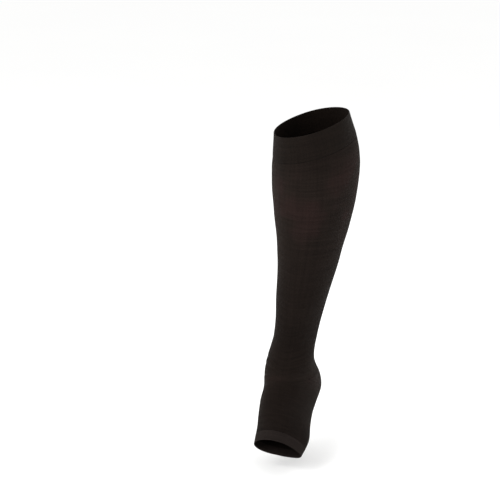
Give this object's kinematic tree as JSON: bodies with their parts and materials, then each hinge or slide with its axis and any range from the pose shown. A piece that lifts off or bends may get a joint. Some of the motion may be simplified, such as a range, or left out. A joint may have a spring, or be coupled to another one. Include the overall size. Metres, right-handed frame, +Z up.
{
  "type": "open-toe compression stocking",
  "caption": "Knee-high, open-toe compression stocking for a left leg, in its worn form: a thin, close-fitting dark knitted tube with a top band, a heel pocket and a toe band.",
  "frame": {"origin": "The middle of the top band, inside the tube, where the leg holds the stocking up.", "axes": "+Z is up, towards the knee. The toes point towards -Y. +X is the outer side of the left leg."},
  "size_m": [0.1393, 0.1906, 0.5075],
  "materials": {
    "band_knit": "near-black double elastic knit, matt",
    "leg_knit": "near-black, slightly brown, dense fine knit with a soft low sheen",
    "heel_knit": "near-black dense knit, matt",
    "foot_knit": "near-black, slightly brown, dense fine knit with a soft low sheen",
    "toe_knit": "near-black double elastic knit, a little greyer than the foot, matt"
  },
  "bodies": {
    "root": {"top_band": "band_knit", "leg": "leg_knit", "heel": "heel_knit", "foot": "foot_knit", "toe_band": "toe_knit"}
  },
  "joints": []
}
